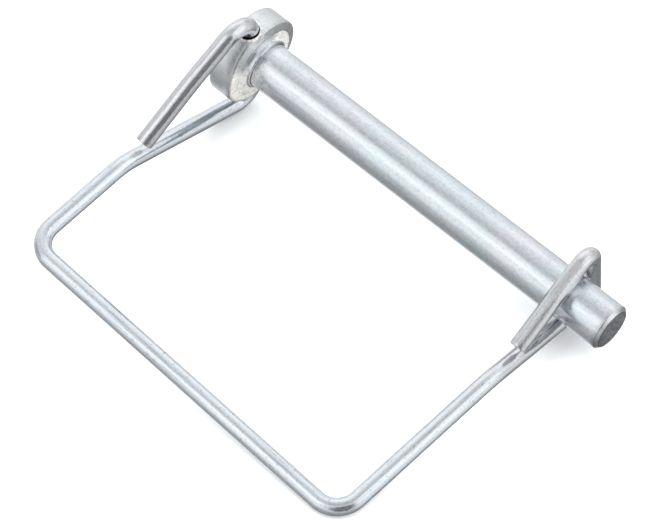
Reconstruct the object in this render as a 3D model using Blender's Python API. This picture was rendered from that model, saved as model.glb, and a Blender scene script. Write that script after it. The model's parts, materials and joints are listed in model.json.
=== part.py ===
"""Square-bail locking pin: a headed steel pin, and a spring-wire bail that passes
through a cross hole in the head and snaps its other end round the pin's tip.

Metres, +Z up. The pieces are drawn in the pin's own frame: origin where the cross hole
meets the shaft's axis, +X along the shaft to its tip, +Z along the cross hole, the bail
towards -Y. At the end the whole pin is laid on the floor as it comes to rest.
"""

from math import asin, atan2, ceil, cos, hypot, pi, radians, sin, tan

import bmesh
import bpy
import numpy as np
from mathutils import Matrix, Vector

MM = 0.001

# the pin
SHAFT_DIAMETER = 8.0 * MM
HOOK_STATION = 67.25 * MM  # from the cross hole to the hook that goes round the shaft
TIP_OVERHANG = 8.4 * MM  # shaft past the hook
TIP_CHAMFER = 0.6 * MM
HEAD_DIAMETER = 15.8 * MM
HEAD_LENGTH = 5.0 * MM  # back face to the highest ring of the shoulder
HEAD_BACK_CHAMFER = 0.55 * MM
HEAD_RIM_RADIUS = 0.35 * MM
SHOULDER_DOME = 0.35 * MM  # how far the shoulder's outer ring rises towards its middle
SHOULDER_WIDTH = 1.7 * MM  # that outer ring, inwards from the head's edge
SEAT_DEPTH = 0.12 * MM  # how far the flat ring inside it is sunk
COLLAR_STEP = 0.5 * MM  # the low collar at the shaft's root stands this far off the shaft
COLLAR_HEIGHT = 0.75 * MM
COLLAR_BEVEL = 0.15 * MM

# the wire bail
WIRE_DIAMETER = 3.0 * MM
BAIL_DEPTH = 48.35 * MM  # cross hole to the middle of the long side
BAIL_TURN = radians(3.8)  # the frame's turn about the cross hole
BAIL_RISE = radians(1.45)  # how the long side climbs towards the tip
LEG_RISE = radians(0.7)  # how the short sides climb towards the long side
CORNER_RADIUS = 4.4 * MM
HEAD_HOOK_TURN = radians(4.5)
HEAD_HOOK_OVER = 3.8 * MM  # space between the head and the sharp corner of each hook bend
HEAD_HOOK_RADIUS = 3.45 * MM
HEAD_KNEE_REACH = 28.3 * MM  # cross hole to the slight bend in the left leg
HEAD_KNEE_RISE = 0.17 * MM  # that bend stands this far over the shaft axis
HEAD_KNEE_RADIUS = 10.0 * MM
HEAD_END_REACH = 24.0 * MM  # cross hole to the cut end over the leg
HEAD_END_SHIFT = 0.28 * MM  # the cut end stands this much nearer the tip than the leg
TIP_HOOK_RADIUS = 2.5 * MM
TIP_HOOK_LEAN = 0.7 * MM  # the hook's bends stand this much nearer the head than its foot
TIP_KNEE_REACH = 19.7 * MM  # shaft axis to the slight bend in the right leg
TIP_KNEE_RADIUS = 12.0 * MM
TIP_END_REACH = 13.0 * MM
HEAD_LEG_BOW = 0.5 * MM  # how far the free legs bow outwards
TIP_LEG_BOW = 0.3 * MM
BOW_RADIUS = 60.0 * MM

# fits
HOLE_CLEARANCE = 0.3 * MM  # all round the wire in the cross hole
HOLE_MOUTH_BEVEL = 0.3 * MM
REST_GAP = 0.3 * MM  # between the wire and what it rests on

# fineness
TURNED_STEPS = 64
WIRE_SIDES = 20
BEND_STEP = radians(9.0)

SHAFT_RADIUS = SHAFT_DIAMETER / 2
HEAD_RADIUS = HEAD_DIAMETER / 2
WIRE_RADIUS = WIRE_DIAMETER / 2
TIP_STATION = HOOK_STATION + TIP_OVERHANG
HOOK_DISTANCE = SHAFT_RADIUS + REST_GAP + WIRE_RADIUS  # wire's middle to shaft's axis


def clear_scene():
    for item in list(bpy.data.objects):
        bpy.data.objects.remove(item, do_unlink=True)


def plated_steel(name, colour, roughness):
    material = bpy.data.materials.new(name)
    material.use_nodes = True
    shader = material.node_tree.nodes["Principled BSDF"]
    shader.inputs["Base Color"].default_value = (*colour, 1.0)
    shader.inputs["Metallic"].default_value = 1.0
    shader.inputs["Roughness"].default_value = roughness
    return material


def add_object(name, data, material=None):
    item = bpy.data.objects.new(name, data)
    bpy.context.scene.collection.objects.link(item)
    if material:
        data.materials.append(material)
    return item


def arc(centre, radius, start, end, steps):
    """Points (along, out) of an arc, from one angle to another."""
    turns = np.linspace(start, end, steps + 1)
    return [(centre[0] + radius * cos(a), centre[1] + radius * sin(a)) for a in turns]


def turned(name, profile, axis):
    """A solid of revolution about X or Z from a profile of (along, out) points."""
    form = bmesh.new()
    along = Vector(axis)
    out = Vector((0, 1, 0))
    line = [form.verts.new(along * a + out * r) for a, r in profile]
    edges = [form.edges.new(pair) for pair in zip(line, line[1:])]
    bmesh.ops.spin(
        form, geom=line + edges, axis=along, cent=(0, 0, 0), dvec=(0, 0, 0),
        angle=2 * pi, steps=TURNED_STEPS, use_merge=True, use_duplicate=False,
    )
    bmesh.ops.remove_doubles(form, verts=form.verts, dist=1e-7)
    bmesh.ops.recalc_face_normals(form, faces=form.faces)
    mesh = bpy.data.meshes.new(name)
    form.to_mesh(mesh)
    form.free()
    return mesh


def head_profile():
    """The head's section, from the middle of its back face to the shaft's root."""
    back = -HEAD_LENGTH / 2
    crown = HEAD_LENGTH / 2
    rim_station = crown - SHOULDER_DOME
    seat_station = crown - SEAT_DEPTH
    seat_radius = HEAD_RADIUS - SHOULDER_WIDTH
    collar_radius = SHAFT_RADIUS + COLLAR_STEP
    collar_top = seat_station + COLLAR_HEIGHT
    rim_centre = (rim_station - HEAD_RIM_RADIUS, HEAD_RADIUS - HEAD_RIM_RADIUS)
    return [
        (back, 0.0),
        (back, HEAD_RADIUS - HEAD_BACK_CHAMFER),
        (back + HEAD_BACK_CHAMFER, HEAD_RADIUS),
        *arc(rim_centre, HEAD_RIM_RADIUS, pi / 2, 0, 4),
        (crown, seat_radius),
        (seat_station, seat_radius - SEAT_DEPTH),
        (seat_station, collar_radius + COLLAR_BEVEL),
        (seat_station + COLLAR_BEVEL, collar_radius),
        (collar_top - COLLAR_BEVEL, collar_radius),
        (collar_top, collar_radius - COLLAR_BEVEL),
        (collar_top + COLLAR_BEVEL, SHAFT_RADIUS),
    ]


def tip_profile():
    """The chamfered end of the shaft."""
    return [
        (TIP_STATION - TIP_CHAMFER, SHAFT_RADIUS),
        (TIP_STATION, SHAFT_RADIUS - TIP_CHAMFER),
        (TIP_STATION, 0.0),
    ]


def cross_hole():
    """The cutter for the hole through the head, opened out a little at both mouths."""
    hole_radius = WIRE_RADIUS + HOLE_CLEARANCE
    beyond = HOLE_MOUTH_BEVEL  # the cutter runs past the head by this much
    throat = HEAD_RADIUS - HOLE_MOUTH_BEVEL
    mouth = HEAD_RADIUS + beyond
    flare = hole_radius + (mouth - throat)
    profile = [
        (-mouth, 0.0),
        (-mouth, flare),
        (-throat, hole_radius),
        (throat, hole_radius),
        (mouth, flare),
        (mouth, 0.0),
    ]
    cutter = add_object("cross_hole_cutter", turned("cross_hole_cutter", profile, (0, 0, 1)))
    cutter.hide_render = True
    cutter.display_type = "WIRE"
    return cutter


def make_pin():
    mesh = turned("locking_pin", head_profile() + tip_profile(), (1, 0, 0))
    steel = plated_steel("zinc_plated_steel_pin", (0.72, 0.74, 0.76), 0.34)
    pin = add_object("locking_pin", mesh, steel)
    mesh.shade_smooth()
    mesh.set_sharp_from_angle(angle=radians(30))
    cut = pin.modifiers.new("cross_hole", "BOOLEAN")
    cut.object = cross_hole()
    cut.operation = "DIFFERENCE"
    return pin, cut.object


def tangent_slope(reach, height, side):
    """Slope of the line from a point `reach` out on the -Y side and `height` up that
    just touches the hook circle round the shaft, over it (side 1) or under it (-1)."""
    to_axis = atan2(-height, reach)
    return to_axis + side * asin(HOOK_DISTANCE / hypot(reach, height))


def bowed_middle(start, end, bow):
    """The middle of a leg, moved outwards and square to it by its bow."""
    run = (end - start).normalized()
    up = Vector((0, 0, 1)) - run * run.z
    return (start + end) / 2 + up.normalized() * bow


def bail_corners():
    """The wire's sharp corners in order along it, each with its bend radius. The frame
    is a flat U; its left leg climbs through the head, its right leg passes under the
    shaft, up its far side and back over it."""
    leg = Vector((-sin(BAIL_TURN), -cos(BAIL_TURN), 0))
    side = Vector((cos(BAIL_TURN), -sin(BAIL_TURN), 0))
    hook = Vector((-sin(HEAD_HOOK_TURN), -cos(HEAD_HOOK_TURN), 0))

    head_knee = hook * HEAD_KNEE_REACH
    tip_knee = Vector((HOOK_STATION, -TIP_KNEE_REACH, 0))
    left_corner = head_knee + leg * (BAIL_DEPTH - HEAD_KNEE_REACH)
    right_corner = left_corner + side * (tip_knee - left_corner).dot(side)
    for point in (head_knee, left_corner, right_corner, tip_knee):
        out = point - head_knee
        climb = out.dot(leg) * tan(LEG_RISE) + out.dot(side) * tan(BAIL_RISE)
        point.z = HEAD_KNEE_RISE + climb

    riser = HEAD_RADIUS + WIRE_RADIUS + HEAD_HOOK_OVER
    front_bend = Vector((0, 0, riser))
    back_bend = Vector((0, 0, -riser))
    back_slope = atan2(head_knee.z + riser, HEAD_KNEE_REACH)
    above_leg = (WIRE_DIAMETER + REST_GAP) / cos(back_slope)
    head_end = hook * HEAD_END_REACH + Vector((HEAD_END_SHIFT, 0, 0))
    head_end.z = -riser + HEAD_END_REACH * tan(back_slope) + above_leg

    hook_station = HOOK_STATION - TIP_HOOK_LEAN
    under_slope = tangent_slope(TIP_KNEE_REACH, tip_knee.z, -1)
    under_run = HOOK_DISTANCE + TIP_KNEE_REACH
    under_bend = Vector((hook_station, HOOK_DISTANCE, tip_knee.z + under_run * tan(under_slope)))
    above_base = (WIRE_DIAMETER + REST_GAP) / cos(under_slope)
    base_height = tip_knee.z + (TIP_KNEE_REACH - TIP_END_REACH) * tan(under_slope)
    tip_end = Vector((HOOK_STATION, -TIP_END_REACH, base_height + above_base))
    over_slope = tangent_slope(TIP_END_REACH, tip_end.z, 1)
    over_run = HOOK_DISTANCE + TIP_END_REACH
    over_bend = Vector((hook_station, HOOK_DISTANCE, tip_end.z + over_run * tan(over_slope)))

    return [
        ("head_end", head_end, 0.0),
        ("head_bow", bowed_middle(head_end, front_bend, HEAD_LEG_BOW), BOW_RADIUS),
        ("front_bend", front_bend, HEAD_HOOK_RADIUS),
        ("back_bend", back_bend, HEAD_HOOK_RADIUS),
        ("head_knee", head_knee, HEAD_KNEE_RADIUS),
        ("left_corner", left_corner, CORNER_RADIUS),
        ("right_corner", right_corner, CORNER_RADIUS),
        ("tip_knee", tip_knee, TIP_KNEE_RADIUS),
        ("under_bend", under_bend, TIP_HOOK_RADIUS),
        ("over_bend", over_bend, TIP_HOOK_RADIUS),
        ("tip_bow", bowed_middle(tip_end, over_bend, TIP_LEG_BOW), BOW_RADIUS),
        ("tip_end", tip_end, 0.0),
    ]


def bend_points(before, corner, after, radius):
    """The arc that rounds a corner, as points from the first tangent to the second."""
    back = (before - corner).normalized()
    on = (after - corner).normalized()
    turn = pi - back.angle(on)
    centre = corner + (back + on).normalized() * radius / cos(turn / 2)
    first = corner + back * radius * tan(turn / 2) - centre
    steps = max(2, ceil(turn / BEND_STEP))
    forward = -back * radius
    angles = np.linspace(0, turn, steps + 1)
    return [centre + first * cos(a) + forward * sin(a) for a in angles]


def wire_path(corners):
    """Points along the wire's middle, and the points of each bend by name."""
    bends = {}
    points = [corners[0][1]]
    for before, (name, corner, radius), after in zip(corners, corners[1:], corners[2:]):
        bends[name] = bend_points(before[1], corner, after[1], radius)
        points += bends[name]
    points.append(corners[-1][1])
    return points, bends


def make_bail(points):
    curve = bpy.data.curves.new("wire_bail", "CURVE")
    curve.dimensions = "3D"
    curve.bevel_depth = WIRE_RADIUS
    curve.bevel_resolution = (WIRE_SIDES - 4) // 2
    curve.use_fill_caps = True
    run = curve.splines.new("POLY")
    run.points.add(len(points) - 1)
    for slot, point in zip(run.points, points):
        slot.co = (*point, 1.0)
    run.use_smooth = True
    wire = plated_steel("zinc_plated_spring_wire", (0.70, 0.72, 0.74), 0.28)
    return add_object("wire_bail", curve, wire)


def resting_turn(bends):
    """The turn that lays the pin down. It rests on three bends of the wire: the one
    behind the head, the one under the tip, and the lower corner of the frame."""
    corners = bends["left_corner"] + bends["right_corner"]
    up = Vector((0, 0, 1))
    for _ in range(12):
        head, tip, frame = (
            min(bend, key=up.dot)
            for bend in (bends["back_bend"], bends["under_bend"], corners)
        )
        up = (head - tip).cross(frame - tip).normalized()
        if up.z < 0:
            up.negate()
    along = (Vector((1, 0, 0)) - up * up.x).normalized()
    return Matrix((along, up.cross(along), up)).to_4x4()


def lowest_and_highest(items):
    """The corners of the box round the finished objects."""
    bpy.context.view_layer.update()
    graph = bpy.context.evaluated_depsgraph_get()
    found = []
    for item in items:
        evaluated = item.evaluated_get(graph)
        mesh = evaluated.to_mesh()
        found += [evaluated.matrix_world @ vertex.co for vertex in mesh.vertices]
        evaluated.to_mesh_clear()
    found = np.array(found)
    return found.min(axis=0), found.max(axis=0)


def lay_down(items, helpers, turn):
    """Turns the pin to its resting pose and puts the middle of its base at the origin."""
    lying = add_object("lying_frame", None)
    lying.matrix_world = turn
    for item in items + helpers:
        item.parent = lying
    low, high = lowest_and_highest(items)
    base = Vector(((low[0] + high[0]) / 2, (low[1] + high[1]) / 2, low[2]))
    lying.matrix_world = Matrix.Translation(-base) @ turn
    bpy.context.view_layer.update()


def main():
    clear_scene()
    pin, cutter = make_pin()
    points, bends = wire_path(bail_corners())
    bail = make_bail(points)
    lay_down([pin, bail], [cutter], resting_turn(bends))


main()
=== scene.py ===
import json

import bpy
import numpy as np
from mathutils import Matrix, Vector


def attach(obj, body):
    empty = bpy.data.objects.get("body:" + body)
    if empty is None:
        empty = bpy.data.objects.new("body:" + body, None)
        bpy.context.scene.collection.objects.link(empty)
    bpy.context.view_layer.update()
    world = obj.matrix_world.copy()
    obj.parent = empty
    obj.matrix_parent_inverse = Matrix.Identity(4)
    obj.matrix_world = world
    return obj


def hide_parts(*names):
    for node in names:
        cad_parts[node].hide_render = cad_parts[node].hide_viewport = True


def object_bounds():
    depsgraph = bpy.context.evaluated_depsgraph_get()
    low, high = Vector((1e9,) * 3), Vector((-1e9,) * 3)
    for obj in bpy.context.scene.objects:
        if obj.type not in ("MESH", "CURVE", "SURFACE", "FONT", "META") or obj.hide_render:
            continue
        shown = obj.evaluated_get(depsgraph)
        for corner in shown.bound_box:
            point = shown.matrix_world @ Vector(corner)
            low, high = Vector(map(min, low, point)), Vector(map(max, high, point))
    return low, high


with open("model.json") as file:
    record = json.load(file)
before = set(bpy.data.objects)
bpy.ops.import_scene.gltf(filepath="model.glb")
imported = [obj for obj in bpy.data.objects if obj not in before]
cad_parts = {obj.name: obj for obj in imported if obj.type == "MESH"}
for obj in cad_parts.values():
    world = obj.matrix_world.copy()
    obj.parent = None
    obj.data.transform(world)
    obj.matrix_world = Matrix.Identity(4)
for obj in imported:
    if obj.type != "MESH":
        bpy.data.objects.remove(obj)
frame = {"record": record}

mm = 0.001
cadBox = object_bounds()


def unit(vector):
    return vector / np.linalg.norm(vector)


def smoothStep(value, low, high):
    # 0 below low, 1 above high, and a smooth S between them
    share = np.clip((value - low) / (high - low), 0, 1)
    return share * share * (3 - 2 * share)


def band(value, start, full, fade, end):
    # rises from 0 at start to 1 at full, holds to fade, and is 0 again at end
    return smoothStep(value, start, full) * (1 - smoothStep(value, fade, end))


def near(value, middle, width):
    # 1 at the middle, falling off on both sides as a bell curve
    return np.exp(-(((value - middle) / width) ** 2))


def facing(angle, middle, low, high):
    # 1 on the side that looks towards the middle angle, and 0 where the cosine of the
    # angle away from it is under low
    return smoothStep(np.cos(np.radians(angle - middle)), low, high)


# The pin's own frame: origin in the middle of the cross hole, first axis along the shaft
# to the tip, third axis along the hole. The hinge and the tip's mount give all of it.
record = frame["record"]
hinge = record["behaviour"]["joints"][0]
tipFace = next(mount for mount in record["mounts"] if mount["name"] == "tip_face")
holeMiddle = np.array(hinge["pos_m"])
alongHole = unit(np.array(hinge["axis"]))
alongShaft = unit(np.array(tipFace["axis"]) - alongHole * np.dot(tipFace["axis"], alongHole))
pinAxes = np.stack([alongShaft, np.cross(alongHole, alongShaft), alongHole])
tipStation = np.dot(np.array(tipFace["pos_m"]) - holeMiddle, alongShaft)
print("stage: frame read")


def toWorld(points):
    # from the pin's own frame to the object's frame
    return points @ pinAxes + holeMiddle


def roundedLine(corners, step):
    # A line through the corners (any number of coordinates, then the corner's radius),
    # each corner rounded by an arc that touches both sides, in points `step` degrees apart
    corners = np.array(corners, float)
    places, radii = corners[:, :-1], corners[:, -1]
    pieces = [places[:1]]
    for before, place, after, radius in zip(places, places[1:], places[2:], radii[1:]):
        back, on = unit(before - place), unit(after - place)
        turn = np.pi - np.arccos(np.clip(np.dot(back, on), -1, 1))
        if radius == 0 or turn < 1e-6:
            pieces.append(place[None])
            continue
        middle = place + unit(back + on) * radius / np.cos(turn / 2)
        first = place + back * radius * np.tan(turn / 2) - middle
        angles = np.linspace(0, turn, max(3, int(np.degrees(turn) / step) + 1))[:, None]
        pieces.append(middle + first * np.cos(angles) - back * radius * np.sin(angles))
    pieces.append(places[-1:])
    return np.concatenate(pieces)


def spreadOut(line, spacing):
    # the same line with points added so that no two are further apart than the spacing,
    # which is one number or one for each stretch
    runs = np.linalg.norm(np.diff(line, axis=0), axis=1)
    spacing = np.broadcast_to(spacing, runs.shape)
    parts = [
        start + (end - start) * np.linspace(0, 1, int(np.ceil(run / step)), endpoint=False)[:, None]
        for start, end, run, step in zip(line, line[1:], runs, spacing) if run > 1e-9
    ]
    return np.concatenate(parts + [line[-1:]])


def closedSkin(name, first, rings, last):
    # a skin of quads over a stack of rings, closed at each end by a fan to one point
    count, around = rings.shape[:2]
    points = np.concatenate([[first], rings.reshape(-1, 3), [last]])
    here = np.arange(around)
    there = np.roll(here, -1)
    start = 1 + np.arange(count - 1)[:, None] * around
    beyond = start + around
    quads = np.stack([start + here, start + there, beyond + there, beyond + here], -1)
    end = 1 + (count - 1) * around
    firstFan = np.stack([np.zeros_like(here), 1 + there, 1 + here], -1)
    lastFan = np.stack([np.full_like(here, end + around), end + here, end + there], -1)
    mesh = bpy.data.meshes.new(name)
    faces = quads.reshape(-1, 4).tolist() + firstFan.tolist() + lastFan.tolist()
    mesh.from_pydata(points.tolist(), [], faces)
    return mesh


def pointsOf(mesh):
    # the mesh's points, one row each
    points = np.empty(len(mesh.vertices) * 3)
    mesh.vertices.foreach_get("co", points)
    return points.reshape(-1, 3)


def finishMesh(mesh, points, layers, sharpAngle):
    # puts the points in their final place and keeps the materials' coordinates and masks
    mesh.vertices.foreach_set("co", points.ravel())
    for name, values in layers.items():
        layer = mesh.attributes.new(name, "FLOAT_VECTOR", "POINT")
        layer.data.foreach_set("vector", values.ravel())
    mesh.update()
    mesh.shade_smooth()
    mesh.set_sharp_from_angle(angle=np.radians(sharpAngle))


def addObject(name, data):
    item = bpy.data.objects.new(name, data)
    bpy.context.scene.collection.objects.link(item)
    return item


# The pin: lengths in metres, and angles in degrees about the shaft, counted from the
# pin's second axis towards its third, which runs along the cross hole.

pin = dict(
    shaftRadius=4.0 * mm,
    headRadius=7.88 * mm,
    headBack=-2.5 * mm,
    headCrown=2.5 * mm,
    backDome=0.14 * mm,         # how far the back face falls away towards its rim
    backChamfer=0.55 * mm,
    shoulderDome=0.36 * mm,     # the outer ring's rise towards its middle
    shoulderWidth=1.7 * mm,
    groove=(0.42 * mm, 0.34 * mm, 0.24 * mm),  # far side, bottom, near side, behind the rim
    grooveDepth=0.06 * mm,
    seatDepth=0.1 * mm,
    collarRadius=4.5 * mm,
    collarHeight=0.75 * mm,
    tipChamfer=0.6 * mm,
    headShift=0.16 * mm,        # the upset head sits a little off the shaft's axis
    rimDrop=0.6 * mm,           # how far the front rim is worn back beside the hole
    rimDropAngles=(80, 100, 105, 178),
    rimWave=0.035 * mm,         # how far the head's front rim wanders
    rimWaves=((3, 0.8, 1.0), (7, 2.0, 0.7), (16, 0.0, 0.4)),  # times round, start, share
    tipBurr=0.012 * mm,
    tipBurrWave=(11, 1.0),      # times round, and start
    holeRadius=1.8 * mm,
    holeMouth=0.14 * mm,        # the rounding at the hole's mouths
    holeShift=(-0.18 * mm, -0.09 * mm),
    cutterLength=0.5 * mm,      # how far the hole's cutter stands out of the head
    around=256,
    holeAround=96,
    arcStep=9,                  # degrees between the points of a rounded corner
    ringSpacing=0.75 * mm,
    fineSpacing=0.11 * mm,      # on the shoulder and the tip, where the finish changes
    shoulderZone=(1 * mm, 3.5 * mm),
    sharpAngle=32,
    # finish: where along the pin two of the films start, are full, fade and end
    seatFilm=(1.5 * mm, 2.1 * mm, 2.7 * mm, 3.0 * mm),
    rootFilm=(3.2 * mm, 3.6 * mm, 4 * mm, 10 * mm),
    # where other marks start and are full: radii, places along the pin, places before the
    # tip's face, and angles
    zones=dict(
        onSeat=(4.3 * mm, 4.7 * mm), collarTop=(3.0 * mm, 3.1 * mm),
        rimLine=(1.2 * mm, 1.5 * mm), crop=(-0.12 * mm, -0.03 * mm), ridgeShadeGap=(165, 200),
    ),
    # how wide the marks that run round the pin are
    widths=dict(
        mouth=0.16 * mm, collarHighlight=0.12 * mm, chamfer=0.25 * mm, rimLine=0.13 * mm,
        ridgeLine=0.11 * mm, collarLine=0.1 * mm, tipLine=0.07 * mm, faceLine=0.1 * mm,
    ),
    # how strong a mark is, where that isn't all the way
    strength=dict(
        mouth=0.8, collarHighlight=0.8, root=0.3, tip=0.12, upperSeatGap=0.7, ridgeShadeGap=0.8,
        tipLine=0.5, chamfer=0.8, crop=0.16,
    ),
    # which way a mark faces: the middle angle, and the cosines it fades in between
    faces=dict(
        upperSeatGap=(100, 0.45, 0.8), outerRingSheen=(205, 0.2, 0.75), collarHighlight=(160, 0.4, 0.8),
        tip=(105, 0.2, 0.9), rimLine=(170, 0.1, 0.6), tipLine=(205, -0.3, 0.5),
        lowerChamfer=(225, -0.1, 0.8), upperChamfer=(30, 0.7, 0.95),
    ),
    # painted shade: the cropped end is darkened towards this side
    cropShadeAngle=205,              # the side towards which the cropped end is darker
)


def pinProfile(p):
    # the outline from the middle of the back face, over the head and shaft, to the tip,
    # as (place along the shaft, radius, rounding of that corner)
    seat = p["headCrown"] - p["seatDepth"]
    ridge = p["headRadius"] - p["shoulderWidth"]
    collarTop = seat + p["collarHeight"]
    step = p["collarRadius"] - p["shaftRadius"]
    tip = tipStation
    rim = p["headCrown"] - p["shoulderDome"]
    grooveStart, grooveBottom, grooveEnd = p["groove"]
    corners = [
        (p["headBack"], 0, 0),
        (p["headBack"], 0.5 * p["headRadius"], 30 * mm),
        (p["headBack"] + p["backDome"], p["headRadius"] - p["backChamfer"], 0.3 * mm),
        (p["headBack"] + p["backChamfer"], p["headRadius"], 0.5 * mm),
        (rim - grooveStart, p["headRadius"], 0.03 * mm),
        (rim - grooveBottom, p["headRadius"] - p["grooveDepth"], 0.04 * mm),
        (rim - grooveEnd, p["headRadius"] - 0.01 * mm, 0.05 * mm),
        (rim, p["headRadius"] - 0.02 * mm, 0.2 * mm),
        (p["headCrown"] - 0.05 * mm, ridge + 0.12 * mm, 0.2 * mm),
        (p["headCrown"], ridge, 0.03 * mm),
        (seat, ridge - 0.1 * mm, 0.04 * mm),
        (seat, p["collarRadius"] + 0.12 * mm, 0.15 * mm),
        (collarTop - 0.1 * mm, p["collarRadius"], 0.12 * mm),
        (collarTop, p["shaftRadius"] + 0.3 * step, 0.04 * mm),
        (collarTop - 0.05 * mm, p["shaftRadius"] - 0.02 * mm, 0.02 * mm),
        (collarTop + 0.25 * mm, p["shaftRadius"], 0.2 * mm),
        (tip - p["tipChamfer"], p["shaftRadius"], 0.12 * mm),
        (tip - 0.03 * mm, p["shaftRadius"] - p["tipChamfer"], 0.08 * mm),
        (tip, p["shaftRadius"] - p["tipChamfer"] - 0.1 * mm, 0.05 * mm),
        (tip, 0, 0),
    ]
    line = roundedLine(corners, p["arcStep"])
    middles = (line[1:, 0] + line[:-1, 0]) / 2
    zoneStart, zoneEnd = p["shoulderZone"]
    onShoulder = (middles > zoneStart) & (middles < zoneEnd)
    atTip = (middles > tip - 2 * p["tipChamfer"]) & (middles < tip)
    return spreadOut(line, np.where(onShoulder | atTip, p["fineSpacing"], p["ringSpacing"]))


def holeCutter(p):
    # a round bar along the hole that flares, in a quarter round, at both mouths
    throat = p["headRadius"] - p["holeMouth"]
    angles = np.linspace(0, np.pi / 2, 9)
    flareAlong = throat + p["holeMouth"] * np.sin(angles)
    flareOut = p["holeRadius"] + p["holeMouth"] * (1 - np.cos(angles))
    beyond = p["headRadius"] + p["cutterLength"]
    along = np.concatenate([[-beyond], -flareAlong[::-1], flareAlong, [beyond]])
    out = np.concatenate([[flareOut[-1]], flareOut[::-1], flareOut, [flareOut[-1]]])
    turn = np.linspace(0, 2 * np.pi, p["holeAround"], endpoint=False)
    across, over = p["holeShift"]  # the wire hangs against one side of the hole
    rings = np.stack([
        across + out[:, None] * np.cos(turn), over + out[:, None] * np.sin(turn),
        np.repeat(along[:, None], p["holeAround"], 1),
    ], -1)
    ends = np.array([[across, over, along[0]], [across, over, along[-1]]])
    return addObject("holeCutter", closedSkin("holeCutter", ends[0], rings, ends[1]))


def pinFinishAndPaintedLight(p, points):
    # three masks for the plating: the matt film with its painted highlights and painted
    # reflection, the bare cropped end with painted shade towards its lower edge, and dark
    # lines of painted shade
    along, y, z = points.T
    radius = np.hypot(y, z)
    angle = np.degrees(np.arctan2(z, y)) % 360
    beforeTip = along - tipStation
    rim, ridge = p["headRadius"], p["headRadius"] - p["shoulderWidth"]
    zones, widths, strength = p["zones"], p["widths"], p["strength"]
    faces = {name: facing(angle, *where) for name, where in p["faces"].items()}
    chamfer = near(beforeTip, -0.5 * p["tipChamfer"], widths["chamfer"]) * (radius > 3.3 * mm)

    # the film lies on the seat, kept off the side that faces up, where the seat mirrors dark, and
    # as a painted reflection on the side of the ring outside it that faces the bright room; it lies
    # at the shaft's root, and is a painted highlight round the hole's mouths, on one side of the
    # collar's edge and, thinly, on one side of the tip's chamfer
    onSeat = band(along, *p["seatFilm"]) * smoothStep(radius, *zones["onSeat"])
    onSeat = onSeat * (radius < rim - 0.03 * mm)
    # the seat's film is left off the side that faces up, where the seat mirrors dark
    inner = (radius < ridge) * (1 - strength["upperSeatGap"] * faces["upperSeatGap"])
    # painted reflection: pale film on the side of the outer ring that faces the bright room
    outerSheen = (radius >= ridge) * faces["outerRingSheen"]
    fromHole = np.hypot(along - p["holeShift"][0], y - p["holeShift"][1])
    # painted highlight: a pale ring round each of the hole's mouths
    mouth = near(fromHole, p["holeRadius"] + 0.2 * mm, widths["mouth"])
    mouth = mouth * (radius > 7 * mm) * (np.abs(z) > 5 * mm)
    # painted highlight: a pale line on one side of the collar's edge
    collarHighlight = near(radius, 4.22 * mm, widths["collarHighlight"]) * (along < 3.3 * mm)
    collarHighlight = collarHighlight * smoothStep(along, *zones["collarTop"])
    filmAndSheen = onSeat * (inner + outerSheen) + strength["mouth"] * mouth
    filmAndSheen = filmAndSheen + strength["collarHighlight"] * collarHighlight * faces["collarHighlight"]
    filmAndSheen = filmAndSheen + strength["root"] * band(along, *p["rootFilm"])
    # painted highlight: thin pale film on one side of the tip's chamfer
    filmAndSheen = filmAndSheen + strength["tip"] * chamfer * faces["tip"]

    # the cropped end is bare and darker, and painted shade darkens it further towards its lower
    # edge
    lowSideShade = radius / p["shaftRadius"] * np.cos(np.radians(angle - p["cropShadeAngle"]))
    bareEndAndShade = smoothStep(beforeTip, *zones["crop"])
    bareEndAndShade = bareEndAndShade * (1 - strength["crop"] + strength["crop"] * lowSideShade)

    # painted shade: dark lines along the head's front rim, at the ridge step, in the collar's
    # crease and at the tip's edges, and on the chamfer where it faces down and back
    rimLine = near(radius, rim - 0.16 * mm, widths["rimLine"]) * faces["rimLine"]
    rimLine = rimLine * smoothStep(along, *zones["rimLine"])
    ridgeLine = near(radius, ridge, widths["ridgeLine"]) * onSeat
    # the painted shade at the ridge is left out between angles 165 and 200
    ridgeLine = ridgeLine * (1 - strength["ridgeShadeGap"] * smoothStep(angle, *zones["ridgeShadeGap"]))
    collarLine = near(radius, p["shaftRadius"] + 0.05 * mm, widths["collarLine"])
    collarLine = collarLine * near(along, 3.1 * mm, 0.2 * mm)
    tipLine = near(beforeTip, -p["tipChamfer"], widths["tipLine"])
    tipLine = tipLine * (1 - strength["tipLine"] + strength["tipLine"] * faces["tipLine"])
    faceRadius = p["shaftRadius"] - p["tipChamfer"]
    faceLine = near(radius, faceRadius - 0.05 * mm, widths["faceLine"])
    faceLine = faceLine * (beforeTip > -0.1 * mm)
    corners = strength["chamfer"] * chamfer * (faces["lowerChamfer"] + faces["upperChamfer"])
    darkLines = rimLine + ridgeLine + collarLine + tipLine + faceLine + corners
    return np.stack([filmAndSheen, bareEndAndShade, darkLines], -1).clip(0, 1)


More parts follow.
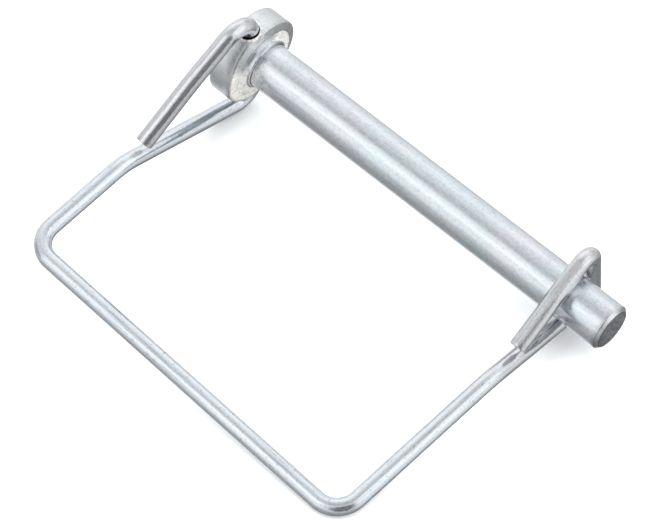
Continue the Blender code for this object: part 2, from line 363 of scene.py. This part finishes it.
def makePin(p):
    # the profile turned about the shaft's axis: (along, radius) at each angle gives
    # (along, radius * cos, radius * sin), then the cross hole is cut through the head
    line = pinProfile(p)
    along, radius = line[1:-1, :1], line[1:-1, 1:]
    turn = np.linspace(0, 2 * np.pi, p["around"], endpoint=False)
    ridge = p["headRadius"] - p["shoulderWidth"]

    # the rim wanders in and out, and the tip's edge has a slight burr
    onRim = near(along, p["headCrown"] - 0.3 * mm, 0.5 * mm) * (radius > 0.8 * p["headRadius"])
    wave = sum(share * np.sin(times * turn + start) for times, start, share in p["rimWaves"])
    atEdge = near(along, tipStation - p["tipChamfer"], 0.12 * mm)
    atEdge = atEdge * (radius > 0.9 * p["shaftRadius"])
    burrTimes, burrStart = p["tipBurrWave"]
    reach = radius - onRim * p["rimWave"] * (1 + 0.5 * wave)
    reach = reach + atEdge * p["tipBurr"] * np.sin(burrTimes * turn + burrStart)

    # the head sits off the shaft's axis, and its front rim is worn back beside the hole
    shift = p["headShift"] * smoothStep(radius, p["collarRadius"] + 0.3 * mm, 0.8 * p["headRadius"])
    drop = p["rimDrop"] * band(turn, *np.radians(p["rimDropAngles"]))
    drop = drop * smoothStep(radius, ridge, p["headRadius"] - 0.1 * mm)
    drop = drop * smoothStep(along, -0.5 * mm, 2.1 * mm)
    rings = np.stack([along - drop, reach * np.cos(turn) - shift, reach * np.sin(turn)], -1)
    blank = closedSkin("pinBlank", [line[0, 0], 0, 0], rings, [line[-1, 0], 0, 0])

    blankObject = addObject("pinBlank", blank)
    cutter = holeCutter(p)
    cut = blankObject.modifiers.new("crossHole", "BOOLEAN")
    cut.operation = "DIFFERENCE"
    cut.object = cutter
    graph = bpy.context.evaluated_depsgraph_get()
    mesh = bpy.data.meshes.new_from_object(blankObject.evaluated_get(graph))
    bpy.data.objects.remove(blankObject)
    bpy.data.objects.remove(cutter)
    points = pointsOf(mesh)
    layers = dict(madeShape=points, surfaceMasks=pinFinishAndPaintedLight(p, points))
    finishMesh(mesh, toWorld(points), layers, p["sharpAngle"])
    mesh.name = "lockingPinSkin"
    return addObject("lockingPinSkin", mesh)


# The bail: lengths in metres and angles in degrees. The wire's path is laid out in the
# pin's own frame, from its cut end over the head to its cut end at the tip.

bail = dict(
    wire=3.0 * mm,              # the drawn wire, which the path makes room for
    skinRadius=1.478 * mm,
    headRadius=7.9 * mm,        # what the head's hook passes round
    gap=0.3 * mm,               # between the wire and what it rests on
    depth=48.35 * mm,           # cross hole to the middle of the long side
    turn=3.8,                   # the frame's turn about the cross hole, degrees
    rise=1.45,                  # how the long side climbs towards the tip, degrees
    legRise=0.7,
    cornerRadius=4.4 * mm,
    headHookTurn=4.5,
    headHookOver=3.8 * mm,
    headHookRadius=3.45 * mm,
    headKneeReach=28.3 * mm,
    headKneeRise=0.17 * mm,
    headKneeRadius=10 * mm,
    headEndReach=24 * mm,
    headEndShift=0.28 * mm,
    hookStation=67.25 * mm,
    tipHookRadius=2.5 * mm,
    tipHookLean=0.7 * mm,
    tipKneeReach=19.7 * mm,
    tipKneeRadius=12 * mm,
    tipEndReach=13 * mm,
    headLegBow=0.5 * mm,
    tipLegBow=0.3 * mm,
    bowRadius=60 * mm,
    endRounding=0.16 * mm,
    endRings=6,
    arcStep=3,                  # degrees between the points of a bend
    around=56,
    ringSpacing=0.7 * mm,
    sharpAngle=40,
    # finish: the frame is bluer than the hooks, and each sheared end is pale, then grimy
    blueFromHead=(30 * mm, 50 * mm),
    blueFromTip=(50 * mm, 70 * mm),
    shearedEdge=0.16 * mm,
    grimyRing=0.5 * mm,
    ringWidth=0.14 * mm,
)


def tangentSlope(reach, height, clearance, side):
    # slope of the line that leaves a point and just touches the circle round the shaft
    return np.arctan2(-height, reach) + side * np.arcsin(clearance / np.hypot(reach, height))


def bowedMiddle(start, end, bow):
    # the middle of a leg, pushed up square to it
    run = unit(end - start)
    return (start + end) / 2 + unit(np.array([0, 0, 1]) - run * run[2]) * bow


def bailCorners(b, p):
    # the wire's corners in order, from its cut end over the head to its cut end at the tip
    turn, hookTurn = np.radians(b["turn"]), np.radians(b["headHookTurn"])
    leg = np.array([-np.sin(turn), -np.cos(turn), 0])
    side = np.array([np.cos(turn), -np.sin(turn), 0])
    hook = np.array([-np.sin(hookTurn), -np.cos(hookTurn), 0])
    thick = b["wire"] + b["gap"]
    clearance = p["shaftRadius"] + b["gap"] + 0.5 * b["wire"]

    headKnee = hook * b["headKneeReach"]
    tipKnee = np.array([b["hookStation"], -b["tipKneeReach"], 0])
    leftCorner = headKnee + leg * (b["depth"] - b["headKneeReach"])
    rightCorner = leftCorner + side * np.dot(tipKnee - leftCorner, side)
    frameCorners = np.stack([headKnee, leftCorner, rightCorner, tipKnee])
    out = frameCorners - headKnee
    legSlope, sideSlope = np.tan(np.radians([b["legRise"], b["rise"]]))
    climb = out @ leg * legSlope + out @ side * sideSlope
    frameCorners[:, 2] = b["headKneeRise"] + climb
    headKnee, leftCorner, rightCorner, tipKnee = frameCorners

    riser = b["headRadius"] + 0.5 * b["wire"] + b["headHookOver"]
    backSlope = np.arctan2(headKnee[2] + riser, b["headKneeReach"])
    headEnd = hook * b["headEndReach"] + [b["headEndShift"], 0, 0]
    headEnd[2] = -riser + b["headEndReach"] * np.tan(backSlope) + thick / np.cos(backSlope)
    frontBend, backBend = np.array([0, 0, riser]), np.array([0, 0, -riser])

    hookPlace = b["hookStation"] - b["tipHookLean"]
    underSlope = tangentSlope(b["tipKneeReach"], tipKnee[2], clearance, -1)
    underRise = (clearance + b["tipKneeReach"]) * np.tan(underSlope)
    underBend = np.array([hookPlace, clearance, tipKnee[2] + underRise])
    overhang = b["tipKneeReach"] - b["tipEndReach"]
    endRise = overhang * np.tan(underSlope) + thick / np.cos(underSlope)
    tipEnd = np.array([b["hookStation"], -b["tipEndReach"], tipKnee[2] + endRise])
    overSlope = tangentSlope(b["tipEndReach"], tipEnd[2], clearance, 1)
    overRise = (clearance + b["tipEndReach"]) * np.tan(overSlope)
    overBend = np.array([hookPlace, clearance, tipEnd[2] + overRise])

    places = [
        (headEnd, 0),
        (bowedMiddle(headEnd, frontBend, b["headLegBow"]), b["bowRadius"]),
        (frontBend, b["headHookRadius"]),
        (backBend, b["headHookRadius"]),
        (headKnee, b["headKneeRadius"]),
        (leftCorner, b["cornerRadius"]),
        (rightCorner, b["cornerRadius"]),
        (tipKnee, b["tipKneeRadius"]),
        (underBend, b["tipHookRadius"]),
        (overBend, b["tipHookRadius"]),
        (bowedMiddle(tipEnd, overBend, b["tipLegBow"]), b["bowRadius"]),
        (tipEnd, 0),
    ]
    return [(*place, radius) for place, radius in places]


def carriedAxes(path):
    # two axes square to the path at each point, turned from point to point without twist
    tangents = np.gradient(path, axis=0)
    tangents /= np.linalg.norm(tangents, axis=1)[:, None]
    across = [unit(np.cross(tangents[0], [1, 0, 0]))]
    for tangent in tangents[1:]:
        across.append(unit(across[-1] - tangent * np.dot(across[-1], tangent)))
    across = np.array(across)
    return tangents, across, np.cross(tangents, across)


def bailFinish(b, pattern):
    # three masks for the plating: how blue it is, the pale edge of each sheared end with
    # the cut face over the head, and the grime beside it
    along = pattern[:, 2]
    radius = np.hypot(pattern[:, 0], pattern[:, 1])
    fromTip = along.max() - along
    fromEnd = np.minimum(along, fromTip)
    blue = smoothStep(along, *b["blueFromHead"]) * smoothStep(fromTip, *b["blueFromTip"])
    cutFace = (along == 0) * (radius < b["skinRadius"] - 0.9 * b["endRounding"])
    sheared = np.maximum(near(fromEnd, b["shearedEdge"], b["ringWidth"]), cutFace)
    darkLines = near(fromEnd, b["grimyRing"], b["ringWidth"])
    return np.stack([blue, sheared, darkLines], -1)


def makeBail(b, p):
    # a round section carried along the wire's path: each ring is
    # place + radius * (cos * across + sin * upright), with rounded cut ends
    path = spreadOut(roundedLine(bailCorners(b, p), b["arcStep"]), b["ringSpacing"])
    tangents, across, upright = carriedAxes(path)
    steps = np.linalg.norm(np.diff(path, axis=0), axis=1)
    length = np.concatenate([[0], np.cumsum(steps)])
    count, ends = len(path), b["endRings"]
    corner = np.linspace(0, np.pi / 2, ends)
    shrink = b["skinRadius"] - b["endRounding"] * (1 - np.sin(corner))
    inset = b["endRounding"] * (1 - np.cos(corner))
    order = np.repeat(np.arange(count), [ends] + [1] * (count - 2) + [ends])
    radius = np.concatenate([shrink, np.full(count - 2, b["skinRadius"]), shrink[::-1]])
    push = np.concatenate([inset, np.zeros(count - 2), -inset[::-1]])
    middle = path[order] + tangents[order] * push[:, None]
    turn = np.linspace(0, 2 * np.pi, b["around"], endpoint=False)
    overX, overY = np.cos(turn)[:, None], np.sin(turn)[:, None]
    ringOut = overX * across[order][:, None] + overY * upright[order][:, None]
    rings = middle[:, None] + ringOut * radius[:, None, None]
    mesh = closedSkin("wireBailSkin", path[0], rings, path[-1])
    straight = np.stack([
        radius[:, None] * np.cos(turn), radius[:, None] * np.sin(turn),
        np.repeat(length[order][:, None], b["around"], 1),
    ], -1)
    pattern = np.concatenate([[[0, 0, 0]], straight.reshape(-1, 3), [[0, 0, length[-1]]]])
    layers = dict(madeShape=pattern, surfaceMasks=bailFinish(b, pattern))
    finishMesh(mesh, toWorld(pointsOf(mesh)), layers, b["sharpAngle"])
    return addObject("wireBailSkin", mesh)


def linear(hexColour):
    # an sRGB hex value as linear light
    value = np.array([int(hexColour[i:i + 2], 16) / 255 for i in (1, 3, 5)])
    light = np.where(value <= 0.04045, value / 12.92, ((value + 0.055) / 1.055) ** 2.4)
    return (*light.tolist(), 1.0)


def perMm(size):
    # a noise scale, on coordinates in metres, for marks of this many millimetres
    return 1000.0 / size


def addNode(tree, kind, sockets=None, **settings):
    # a node with its settings, and each socket given as a value or as what links to it
    node = tree.nodes.new(kind)
    for name, value in settings.items():
        setattr(node, name, value)
    for name, value in (sockets or {}).items():
        if isinstance(value, bpy.types.NodeSocket):
            tree.links.new(value, node.inputs[name])
        else:
            node.inputs[name].default_value = value
    return node


def newMaterial(name):
    material = bpy.data.materials.new(name)
    material.use_nodes = True
    return material, material.node_tree, material.node_tree.nodes["Principled BSDF"]


def zincPlatedSteel():
    # Drawn and cold-headed steel with bright zinc on it. The plating is thin and follows
    # the drawing lines, so it is a satin blue-white mirror with a fine grain, slow waves
    # and a few brown stains where the bath dried. The upset head is greyer and rougher.
    # A matt pale film stays on the shoulder, which nothing rubs; the same pale film is also painted
    # on as highlights round the hole's mouths, along the collar's edge and on the tip's chamfer,
    # and as a reflection on one side of the outer ring. Painted shade darkens the head's front rim,
    # the ridge step, the collar's crease and the tip's edges, and the cropped end is darker, bare
    # and with painted shade towards its lower edge, with lighter smears.
    material, tree, shader = newMaterial("zincPlatedSteel")
    made = addNode(tree, "ShaderNodeAttribute", attribute_name="madeShape").outputs["Vector"]
    mask = addNode(tree, "ShaderNodeAttribute", attribute_name="surfaceMasks").outputs["Vector"]
    masks = addNode(tree, "ShaderNodeSeparateXYZ", {"Vector": mask}).outputs
    drawnOut = addNode(tree, "ShaderNodeMapping", {
        "Vector": made, "Scale": (0.08, 1.0, 1.0),
    }).outputs["Vector"]
    square = addNode(tree, "ShaderNodeVectorMath", {
        0: made, 1: (0.0, 1.0, 1.0),
    }, operation="MULTIPLY").outputs[0]
    radius = addNode(tree, "ShaderNodeVectorMath", {
        0: square,
    }, operation="LENGTH").outputs["Value"]
    along = addNode(tree, "ShaderNodeSeparateXYZ", {"Vector": made}).outputs["X"]
    turned = addNode(tree, "ShaderNodeCombineXYZ", {"X": along, "Y": radius}).outputs[0]

    # The crystals gather in clusters of about half a millimetre, the bath's marks are 2 to
    # 3 mm across and the waves 6 to 7 mm. Drawing and turning lines are really under
    # 0.1 mm apart, and are drawn about 0.3 mm apart so that they show.
    grain = addNode(tree, "ShaderNodeTexNoise", {
        "Vector": made, "Scale": perMm(0.55), "Detail": 2.0, "Roughness": 0.55,
    }).outputs["Fac"]
    blotch = addNode(tree, "ShaderNodeTexNoise", {
        "Vector": made, "Scale": perMm(2.6), "Detail": 3.0, "Roughness": 0.6,
    }).outputs["Fac"]
    wave = addNode(tree, "ShaderNodeTexNoise", {
        "Vector": made, "Scale": perMm(6.5), "Detail": 1.0, "Roughness": 0.4,
    }).outputs["Fac"]
    streak = addNode(tree, "ShaderNodeTexNoise", {
        "Vector": drawnOut, "Scale": perMm(0.3), "Detail": 2.0, "Roughness": 0.6,
    }).outputs["Fac"]
    rings = addNode(tree, "ShaderNodeTexNoise", {
        "Vector": turned, "Scale": perMm(0.25), "Detail": 2.0, "Roughness": 0.6,
    }, noise_dimensions="2D").outputs["Fac"]

    # where the film lies, with its painted highlights and painted reflection, ragged at its edges
    ragged = addNode(tree, "ShaderNodeMath", {
        0: blotch, 1: 0.9, 2: masks["X"],
    }, operation="MULTIPLY_ADD").outputs[0]
    filmAndSheen = addNode(tree, "ShaderNodeMapRange", {
        "Value": ragged, "From Min": 0.62, "From Max": 1.3, "To Min": 0.0, "To Max": 1.0,
    }).outputs["Result"]

    # colour: blue-white to faintly pink in slow patches, the pale film with its painted highlights
    # and painted reflection, brown stains, and the dark lines of painted shade
    patch = addNode(tree, "ShaderNodeMapRange", {
        "Value": wave, "From Min": 0.38, "From Max": 0.62,
    }).outputs["Result"]
    zinc = addNode(tree, "ShaderNodeMix", {
        0: patch, 6: linear("#e0e8ed"), 7: linear("#e6e7ed"),
    }, data_type="RGBA").outputs[2]
    onHead = addNode(tree, "ShaderNodeMapRange", {
        "Value": radius, "From Min": 4.5 * mm, "From Max": 6.5 * mm,
    }).outputs["Result"]
    headTint = addNode(tree, "ShaderNodeMath", {
        0: onHead, 1: 0.5,
    }, operation="MULTIPLY").outputs[0]
    plated = addNode(tree, "ShaderNodeMix", {
        0: headTint, 6: zinc, 7: linear("#e6e5e1"),
    }, data_type="RGBA").outputs[2]
    uneven = addNode(tree, "ShaderNodeMath", {
        0: rings, 1: 0.3, 2: grain,
    }, operation="MULTIPLY_ADD").outputs[0]
    arc = addNode(tree, "ShaderNodeMapRange", {
        "Value": uneven, "From Min": 0.4, "From Max": 0.75,
    }).outputs["Result"]
    paste = addNode(tree, "ShaderNodeMix", {
        0: arc, 6: linear("#c2beb6"), 7: linear("#ebeae7"),
    }, data_type="RGBA").outputs[2]
    filmed = addNode(tree, "ShaderNodeMix", {
        0: filmAndSheen, 6: plated, 7: paste,
    }, data_type="RGBA").outputs[2]
    spot = addNode(tree, "ShaderNodeMath", {
        0: grain, 1: blotch,
    }, operation="MULTIPLY").outputs[0]
    stain = addNode(tree, "ShaderNodeMapRange", {
        "Value": spot, "From Min": 0.34, "From Max": 0.42, "To Min": 0.0, "To Max": 0.45,
    }).outputs["Result"]
    stained = addNode(tree, "ShaderNodeMix", {
        0: stain, 6: filmed, 7: linear("#b3a496"),
    }, data_type="RGBA").outputs[2]
    broken = addNode(tree, "ShaderNodeMapRange", {
        "Value": blotch, "From Min": 0.3, "From Max": 0.6, "To Min": 0.25, "To Max": 0.8,
    }).outputs["Result"]
    darkening = addNode(tree, "ShaderNodeMath", {
        0: masks["Z"], 1: broken,
    }, operation="MULTIPLY").outputs[0]
    # painted shade: the dark lines of the third mask darken the colour towards brown-grey
    darkened = addNode(tree, "ShaderNodeMix", {
        0: darkening, 6: stained, 7: linear("#77706a"),
    }, data_type="RGBA").outputs[2]

    # brightness: fine grain, drawing lines, and the darker cropped end, bare and with painted shade
    # towards its lower edge
    speck = addNode(tree, "ShaderNodeMapRange", {
        "Value": grain, "From Min": 0.3, "From Max": 0.6, "To Min": 0.86, "To Max": 1.0,
    }).outputs["Result"]
    line = addNode(tree, "ShaderNodeMapRange", {
        "Value": streak, "From Min": 0.3, "From Max": 0.5, "To Min": 0.9, "To Max": 1.0,
    }).outputs["Result"]
    bare = addNode(tree, "ShaderNodeMapRange", {
        "Value": uneven, "From Min": 0.5, "From Max": 0.85, "To Min": -0.68, "To Max": -0.12,
    }).outputs["Result"]
    dark = addNode(tree, "ShaderNodeMath", {
        0: masks["Y"], 1: bare, 2: 1.0,
    }, operation="MULTIPLY_ADD").outputs[0]
    fine = addNode(tree, "ShaderNodeMath", {0: speck, 1: line}, operation="MULTIPLY").outputs[0]
    shade = addNode(tree, "ShaderNodeMath", {0: fine, 1: dark}, operation="MULTIPLY").outputs[0]
    colour = addNode(tree, "ShaderNodeVectorMath", {
        0: darkened, "Scale": shade,
    }, operation="SCALE").outputs["Vector"]
    tree.links.new(colour, shader.inputs["Base Color"])

    rough = addNode(tree, "ShaderNodeMapRange", {
        "Value": grain, "From Min": 0.3, "From Max": 0.7, "To Min": 0.14, "To Max": 0.24,
    }).outputs["Result"]
    rubbed = addNode(tree, "ShaderNodeMapRange", {
        "Value": along, "From Min": tipStation - 12 * mm, "From Max": tipStation - 8 * mm,
        "To Min": 0.0, "To Max": 0.03,
    }).outputs["Result"]
    ended = addNode(tree, "ShaderNodeMath", {0: rough, 1: rubbed}, operation="ADD").outputs[0]
    satin = addNode(tree, "ShaderNodeMath", {
        0: onHead, 1: 0.1, 2: ended,
    }, operation="MULTIPLY_ADD").outputs[0]
    matt = addNode(tree, "ShaderNodeMath", {
        0: filmAndSheen, 1: 0.35, 2: satin,
    }, operation="MULTIPLY_ADD").outputs[0]
    tree.links.new(matt, shader.inputs["Roughness"])
    metal = addNode(tree, "ShaderNodeMath", {
        0: filmAndSheen, 1: -0.9, 2: 1.0,
    }, operation="MULTIPLY_ADD").outputs[0]
    tree.links.new(metal, shader.inputs["Metallic"])

    waves = addNode(tree, "ShaderNodeBump", {
        "Height": wave, "Strength": 1.0, "Distance": 0.055 * mm,
    }).outputs["Normal"]
    drawing = addNode(tree, "ShaderNodeBump", {
        "Height": streak, "Strength": 0.5, "Distance": 0.006 * mm, "Normal": waves,
    }).outputs["Normal"]
    turning = addNode(tree, "ShaderNodeBump", {
        "Height": rings, "Strength": 0.5, "Distance": 0.006 * mm, "Normal": drawing,
    }).outputs["Normal"]
    crystals = addNode(tree, "ShaderNodeBump", {
        "Height": grain, "Strength": 0.5, "Distance": 0.006 * mm, "Normal": turning,
    }).outputs["Normal"]
    tree.links.new(crystals, shader.inputs["Normal"])
    return material


def zincPlatedWire():
    # Hard-drawn spring wire, zinc plated. The die leaves long fine scratches along the
    # wire, and the thin bright plating follows them, so reflections are drawn out
    # lengthwise. The frame is a little bluer than the hooks, which are handled, and the
    # ends are sheared after plating, so they have a pale torn edge with grime beside it.
    material, tree, shader = newMaterial("zincPlatedWire")
    made = addNode(tree, "ShaderNodeAttribute", attribute_name="madeShape").outputs["Vector"]
    mask = addNode(tree, "ShaderNodeAttribute", attribute_name="surfaceMasks").outputs["Vector"]
    masks = addNode(tree, "ShaderNodeSeparateXYZ", {"Vector": mask}).outputs
    drawnOut = addNode(tree, "ShaderNodeMapping", {
        "Vector": made, "Scale": (1.0, 1.0, 0.04),
    }).outputs["Vector"]
    pulled = addNode(tree, "ShaderNodeMapping", {
        "Vector": made, "Scale": (1.0, 1.0, 0.45),
    }).outputs["Vector"]
    # The die's scratches and the plating's crystals are really a few hundredths of a
    # millimetre wide, and are drawn at 0.4 and 0.22 mm so that they show.
    scratch = addNode(tree, "ShaderNodeTexNoise", {
        "Vector": drawnOut, "Scale": perMm(0.4), "Detail": 4.0, "Roughness": 0.65,
    }).outputs["Fac"]
    grain = addNode(tree, "ShaderNodeTexNoise", {
        "Vector": pulled, "Scale": perMm(0.22), "Detail": 3.0, "Roughness": 0.6,
    }).outputs["Fac"]
    spot = addNode(tree, "ShaderNodeTexNoise", {
        "Vector": made, "Scale": perMm(0.7), "Detail": 1.0, "Roughness": 0.5,
    }).outputs["Fac"]
    line = addNode(tree, "ShaderNodeMapRange", {
        "Value": scratch, "From Min": 0.34, "From Max": 0.46, "To Min": 0.8, "To Max": 1.0,
    }).outputs["Result"]
    speck = addNode(tree, "ShaderNodeMapRange", {
        "Value": grain, "From Min": 0.32, "From Max": 0.46, "To Min": 0.82, "To Max": 1.0,
    }).outputs["Result"]
    shade = addNode(tree, "ShaderNodeMath", {
        0: line, 1: speck,
    }, operation="MULTIPLY").outputs[0]
    stain = addNode(tree, "ShaderNodeMapRange", {
        "Value": spot, "From Min": 0.66, "From Max": 0.72, "To Min": 0.0, "To Max": 0.4,
    }).outputs["Result"]
    zinc = addNode(tree, "ShaderNodeMix", {
        0: masks["X"], 6: linear("#dfdfe2"), 7: linear("#e1e6ec"),
    }, data_type="RGBA").outputs[2]
    stained = addNode(tree, "ShaderNodeMix", {
        0: stain, 6: zinc, 7: linear("#b3a496"),
    }, data_type="RGBA").outputs[2]
    streaked = addNode(tree, "ShaderNodeVectorMath", {
        0: stained, "Scale": shade,
    }, operation="SCALE").outputs["Vector"]
    torn = addNode(tree, "ShaderNodeMath", {
        0: masks["Y"], 1: grain, 2: masks["Y"],
    }, operation="MULTIPLY_ADD").outputs[0]
    edge = addNode(tree, "ShaderNodeMapRange", {
        "Value": torn, "From Min": 0.7, "From Max": 1.5, "To Min": 0.0, "To Max": 0.9,
    }).outputs["Result"]
    darkening = addNode(tree, "ShaderNodeMath", {
        0: masks["Z"], 1: grain,
    }, operation="MULTIPLY").outputs[0]
    darkened = addNode(tree, "ShaderNodeMix", {
        0: darkening, 6: streaked, 7: linear("#6e665f"),
    }, data_type="RGBA").outputs[2]
    ended = addNode(tree, "ShaderNodeMix", {
        0: edge, 6: darkened, 7: linear("#dcd6cc"),
    }, data_type="RGBA").outputs[2]
    tree.links.new(ended, shader.inputs["Base Color"])
    rough = addNode(tree, "ShaderNodeMapRange", {
        "Value": grain, "From Min": 0.3, "From Max": 0.7, "To Min": 0.07, "To Max": 0.14,
    }).outputs["Result"]
    matt = addNode(tree, "ShaderNodeMath", {
        0: edge, 1: 0.3, 2: rough,
    }, operation="MULTIPLY_ADD").outputs[0]
    tree.links.new(matt, shader.inputs["Roughness"])
    metal = addNode(tree, "ShaderNodeMath", {
        0: edge, 1: -0.8, 2: 1.0,
    }, operation="MULTIPLY_ADD").outputs[0]
    tree.links.new(metal, shader.inputs["Metallic"])
    waves = addNode(tree, "ShaderNodeBump", {
        "Height": spot, "Strength": 1.0, "Distance": 0.006 * mm,
    }).outputs["Normal"]
    drawMarks = addNode(tree, "ShaderNodeBump", {
        "Height": scratch, "Strength": 0.8, "Distance": 0.017 * mm, "Normal": waves,
    }).outputs["Normal"]
    crystals = addNode(tree, "ShaderNodeBump", {
        "Height": grain, "Strength": 0.8, "Distance": 0.026 * mm, "Normal": drawMarks,
    }).outputs["Normal"]
    tree.links.new(crystals, shader.inputs["Normal"])
    return material


pinSkin = makePin(pin)
pinSkin.data.materials.append(zincPlatedSteel())
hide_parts("locking_pin")
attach(pinSkin, "pin")
print("stage: pin made,", len(pinSkin.data.polygons), "faces")

bailSkin = makeBail(bail, pin)
bailSkin.data.materials.append(zincPlatedWire())
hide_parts("wire_bail")
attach(bailSkin, "bail")
print("stage: bail made,", len(bailSkin.data.polygons), "faces")


# The studio: a pale floor, one wide lamp overhead, and a plain room for the metal to
# mirror.

studio = dict(
    floorSize=6.0,
    floorColour="#fafbfb",
    floorRoughness=0.9,
    tint=(0.97, 0.99, 1.0),     # the room's light is faintly blue
    # how bright the room is at each height, as the sine of the elevation
    roomLight=[
        (-1.0, 0.28), (-0.94, 0.3), (-0.87, 0.36), (-0.64, 0.42), (-0.5, 0.5),
        (-0.34, 0.58), (-0.17, 0.7), (0.0, 0.8), (0.17, 0.88), (0.34, 0.93),
        (0.5, 0.95), (0.7, 0.9), (0.87, 0.75), (1.0, 0.64),
    ],
    # soft patches in the room: azimuth and elevation of the middle, the angles where the
    # patch starts and has done fading, and what it adds
    patches=dict(
        leftScreen=(-112, 50, 7, 22, 0.37),
        leftGlow=(-110, 22, 10, 30, 0.17),
        rightScreen=(24, 37, 20, 34, 0.33),
        openDoor=(-39, 23, 18, 38, -0.68),
        farFloor=(150, -47, 12, 42, 0.6),
        farWall=(130, 5, 25, 60, 0.12),
        farCeiling=(120, 55, 12, 36, 0.18),
        sideWall=(-150, 40, 8, 28, -0.1),
        backWall=(158, 50, 10, 24, 0.14),
        shelf=(88, 14, 4, 20, -0.28),
        farDoor=(-150, 5, 8, 22, -0.4),
        rightFloor=(25, -14, 10, 36, 0.24),
        backFloor=(70, -58, 8, 26, -0.1),
    ),
    lampPower=6.8,              # in watts for each square metre of the lamp
    lampSize=2.6,
    lampHeight=1.2,             # over the middle of the object
)
centre = np.mean(np.array(cadBox), axis=0)


def direction(azimuth, elevation):
    # azimuth turns from +X towards +Y, both in degrees
    azimuth, elevation = np.radians(azimuth), np.radians(elevation)
    return np.array([
        np.cos(elevation) * np.cos(azimuth), np.cos(elevation) * np.sin(azimuth), np.sin(elevation),
    ])


def hangLamp(s):
    # an even square lamp right over the object, which lights the floor and the matt film
    lamp = bpy.data.lights.new("topLamp", "AREA")
    lamp.size = s["lampSize"]
    lamp.energy = s["lampPower"] * s["lampSize"] ** 2
    item = addObject("topLamp", lamp)
    item.location = centre + np.array([0, 0, s["lampHeight"]])
    item.visible_glossy = False  # the metal mirrors the room instead


def makeFloor(s):
    half = s["floorSize"] / 2
    mesh = bpy.data.meshes.new("floor")
    corners = [(-half, -half, 0), (half, -half, 0), (half, half, 0), (-half, half, 0)]
    mesh.from_pydata(corners, [], [(0, 1, 2, 3)])
    item = addObject("floor", mesh)
    material, tree, shader = newMaterial("paleBoard")
    shader.inputs["Base Color"].default_value = linear(s["floorColour"])
    shader.inputs["Roughness"].default_value = s["floorRoughness"]
    mesh.materials.append(material)
    item.visible_glossy = False  # the metal mirrors the room's own darker lower half


def makeRoom(s):
    # the light from each direction: a curve of its height, plus the soft patches
    world = bpy.data.worlds.new("room")
    bpy.context.scene.world = world
    world.use_nodes = True
    tree = world.node_tree
    background = tree.nodes["Background"]
    background.inputs["Color"].default_value = (*s["tint"], 1.0)
    towards = addNode(tree, "ShaderNodeTexCoord").outputs["Generated"]
    height = addNode(tree, "ShaderNodeSeparateXYZ", {"Vector": towards}).outputs["Z"]
    ramp = addNode(tree, "ShaderNodeMapRange", {
        "Value": height, "From Min": -1.0,
    }).outputs["Result"]
    curve = addNode(tree, "ShaderNodeFloatCurve", {"Value": ramp})
    points = curve.mapping.curves[0].points
    places = [((sine + 1) / 2, light) for sine, light in s["roomLight"]]
    points[0].location, points[-1].location = places[0], places[-1]
    for place in places[1:-1]:
        points.new(*place)
    curve.mapping.update()
    light = curve.outputs["Value"]
    for azimuth, elevation, start, end, added in s["patches"].values():
        closeness = addNode(tree, "ShaderNodeVectorMath", {
            0: towards, 1: direction(azimuth, elevation),
        }, operation="DOT_PRODUCT").outputs["Value"]
        patch = addNode(tree, "ShaderNodeMapRange", {
            "Value": closeness, "From Min": np.cos(np.radians(end)),
            "From Max": np.cos(np.radians(start)), "To Min": 0.0, "To Max": added,
        }, interpolation_type="SMOOTHSTEP").outputs["Result"]
        light = addNode(tree, "ShaderNodeMath", {
            0: light, 1: patch,
        }, operation="ADD").outputs[0]
    tree.links.new(light, background.inputs["Strength"])


makeFloor(studio)
makeRoom(studio)
hangLamp(studio)
print("stage: studio lit")


# The camera: angles in degrees, lens and sensor in millimetres, and the rest in metres.

view = dict(
    azimuth=39.39,              # looks along +Y at 0, and turns towards -X
    elevation=53.0,
    roll=2.36,
    distance=0.955,
    lens=336.2,
    sensor=36,
    nearest=0.01,
    offset=(1.5 * mm, -0.8 * mm, 0.0),
)


def makeCamera(v):
    # looks at the middle of the object's box, moved by the offset
    data = bpy.data.cameras.new("camera")
    data.sensor_width = v["sensor"]
    data.lens = v["lens"]
    data.clip_start = v["nearest"]
    item = addObject("camera", data)
    target = centre + np.array(v["offset"])
    back = -direction(v["azimuth"] + 90, -v["elevation"])
    turn = Vector(back).to_track_quat("Z", "Y").to_matrix().to_4x4()
    roll = Matrix.Rotation(np.radians(v["roll"]), 4, "Z")
    item.matrix_world = Matrix.Translation(Vector(target + back * v["distance"])) @ turn @ roll
    bpy.context.scene.camera = item


makeCamera(view)
bpy.context.scene.view_settings.view_transform = "Standard"
print("stage: camera placed")
